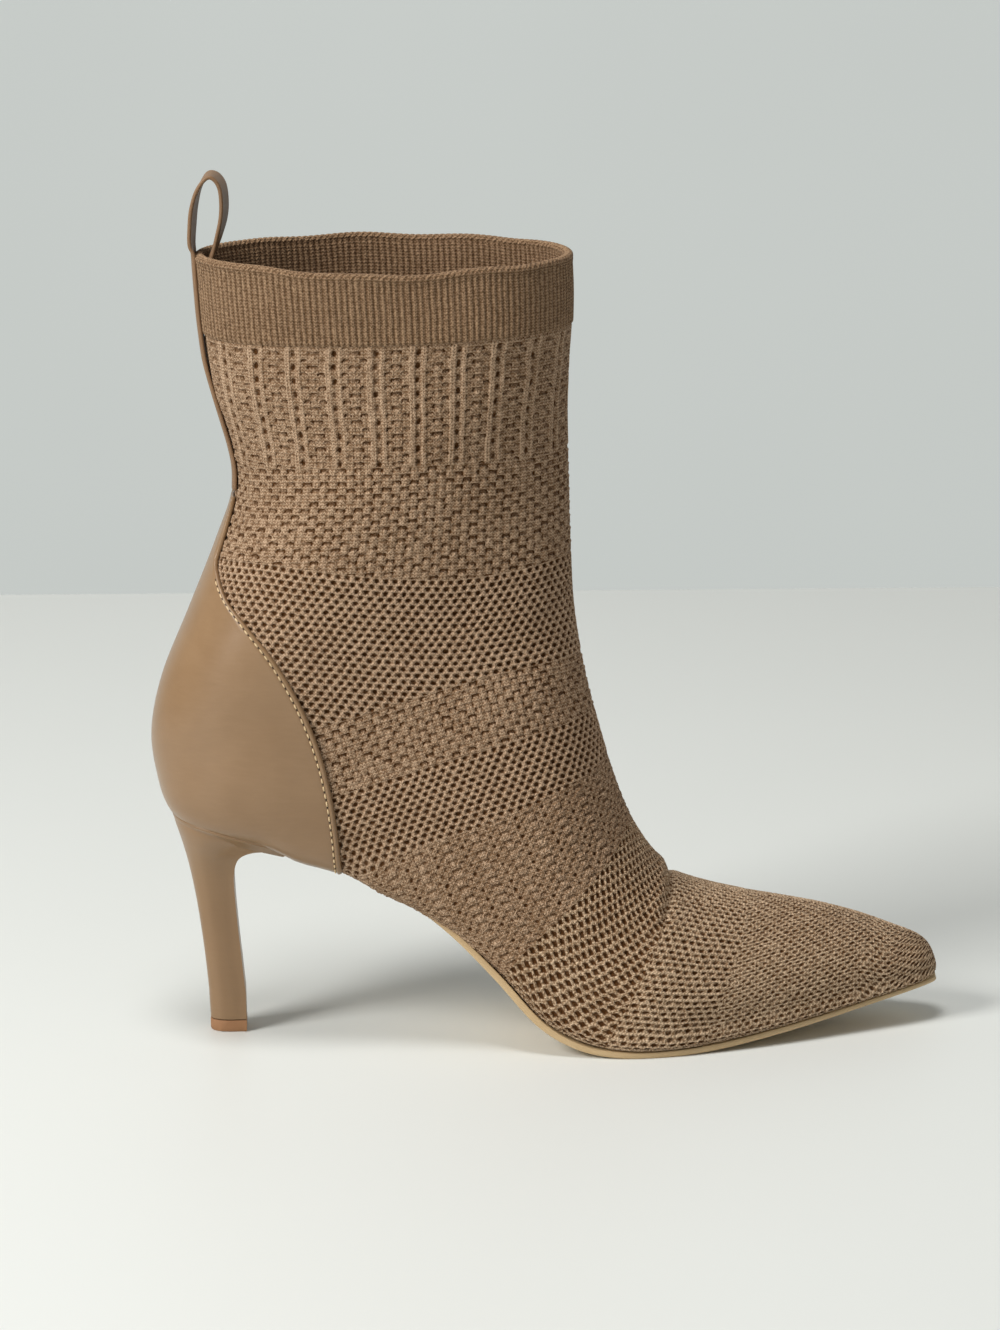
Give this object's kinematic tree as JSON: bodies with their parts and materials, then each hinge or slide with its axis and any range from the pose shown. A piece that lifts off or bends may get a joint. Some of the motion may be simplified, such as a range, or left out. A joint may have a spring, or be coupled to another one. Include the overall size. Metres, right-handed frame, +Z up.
{
  "type": "ankle boot",
  "caption": "Right sweater boot: a knitted pull-on upper with a ribbed cuff, leather heel counter and pull loop, thin pointed outsole and slim leather-covered stiletto heel.",
  "frame": {"origin": "centre of the heel tip's flat foot on the floor", "axes": "+X towards the toe, +Y towards the medial side of a right boot, +Z up"},
  "size_m": [0.2481, 0.0756, 0.2712],
  "materials": {
    "knit": "matt knitted yarn with ribs and small holes",
    "counter_leather": "smooth soft satin leather",
    "heel_leather": "smooth satin leather, wrapped",
    "heel_tip_rubber": "matt tread rubber",
    "outsole_leather": "satin sole leather with a dyed edge",
    "insole_leather": "soft matt lining leather",
    "strap_leather": "smooth satin leather strip"
  },
  "bodies": {
    "root": {"knit_upper": "knit", "heel_counter": "counter_leather", "heel": "heel_leather", "heel_tip": "heel_tip_rubber", "outsole": "outsole_leather", "insole": "insole_leather", "pull_strap": "strap_leather"}
  },
  "joints": []
}
